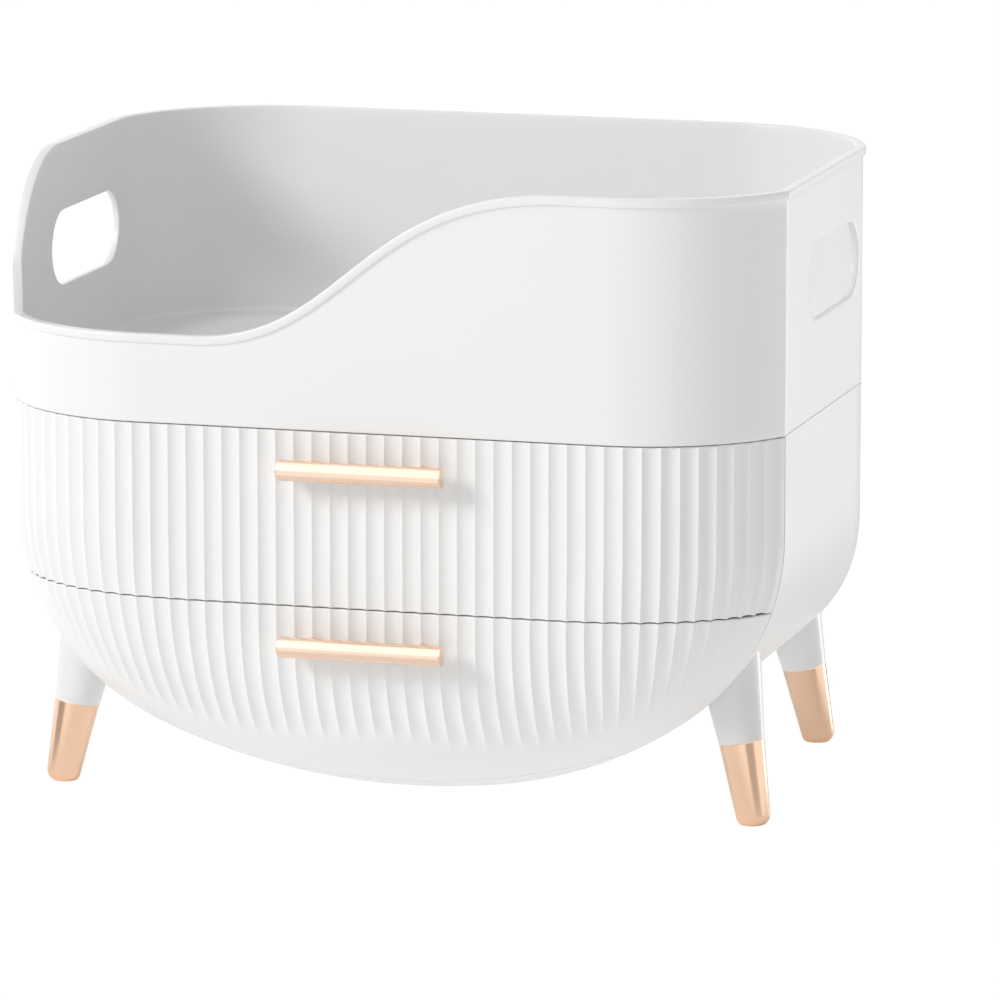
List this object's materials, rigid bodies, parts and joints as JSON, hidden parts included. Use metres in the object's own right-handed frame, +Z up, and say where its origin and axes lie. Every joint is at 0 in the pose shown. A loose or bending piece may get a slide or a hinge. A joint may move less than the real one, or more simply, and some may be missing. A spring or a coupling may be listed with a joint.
{
  "type": "makeup organizer with drawers",
  "caption": "Countertop makeup organizer: open tray with a sweeping rim and hand holes over bowed, fluted drawers that curve under as a belly, on splayed legs.",
  "frame": {"origin": "on the floor, under the middle of the bounding box", "axes": "+X to the right seen from the front, +Y to the back, +Z up"},
  "size_m": [0.2516, 0.1854, 0.2007],
  "materials": {
    "white_plastic": "smooth satin gloss, moulded",
    "inner_plastic": "satin, moulded",
    "rose_gold": "polished rose gold plating",
    "steel": "zinc plated",
    "insert_brass": "turned"
  },
  "bodies": {
    "body": {"casing_shell": "white_plastic", "top_tray": "white_plastic", "drawer_shelf": "inner_plastic", "drawer_deck": "inner_plastic", "tray_screws": "steel", "front_left_leg": "white_plastic", "front_left_leg_cap": "rose_gold", "front_right_leg": "white_plastic", "front_right_leg_cap": "rose_gold", "rear_left_leg": "white_plastic", "rear_left_leg_cap": "rose_gold", "rear_right_leg": "white_plastic", "rear_right_leg_cap": "rose_gold", "leg_studs": "steel", "leg_inserts": "insert_brass"},
    "upper_drawer": {"upper_drawer_tub": "inner_plastic", "upper_drawer_front": "white_plastic", "upper_handle_bar": "rose_gold", "upper_handle_posts": "rose_gold", "upper_handle_screws": "steel"},
    "lower_drawer": {"lower_drawer_tub": "inner_plastic", "lower_drawer_front": "white_plastic", "lower_handle_bar": "rose_gold", "lower_handle_posts": "rose_gold", "lower_handle_screws": "steel"}
  },
  "joints": [
    {"name": "upper_drawer_slide", "type": "slide", "parent": "body", "child": "upper_drawer", "axis": [0, -1, 0], "range_m": [0, 0.105]},
    {"name": "lower_drawer_slide", "type": "slide", "parent": "body", "child": "lower_drawer", "axis": [0, -1, 0], "range_m": [0, 0.105]}
  ]
}
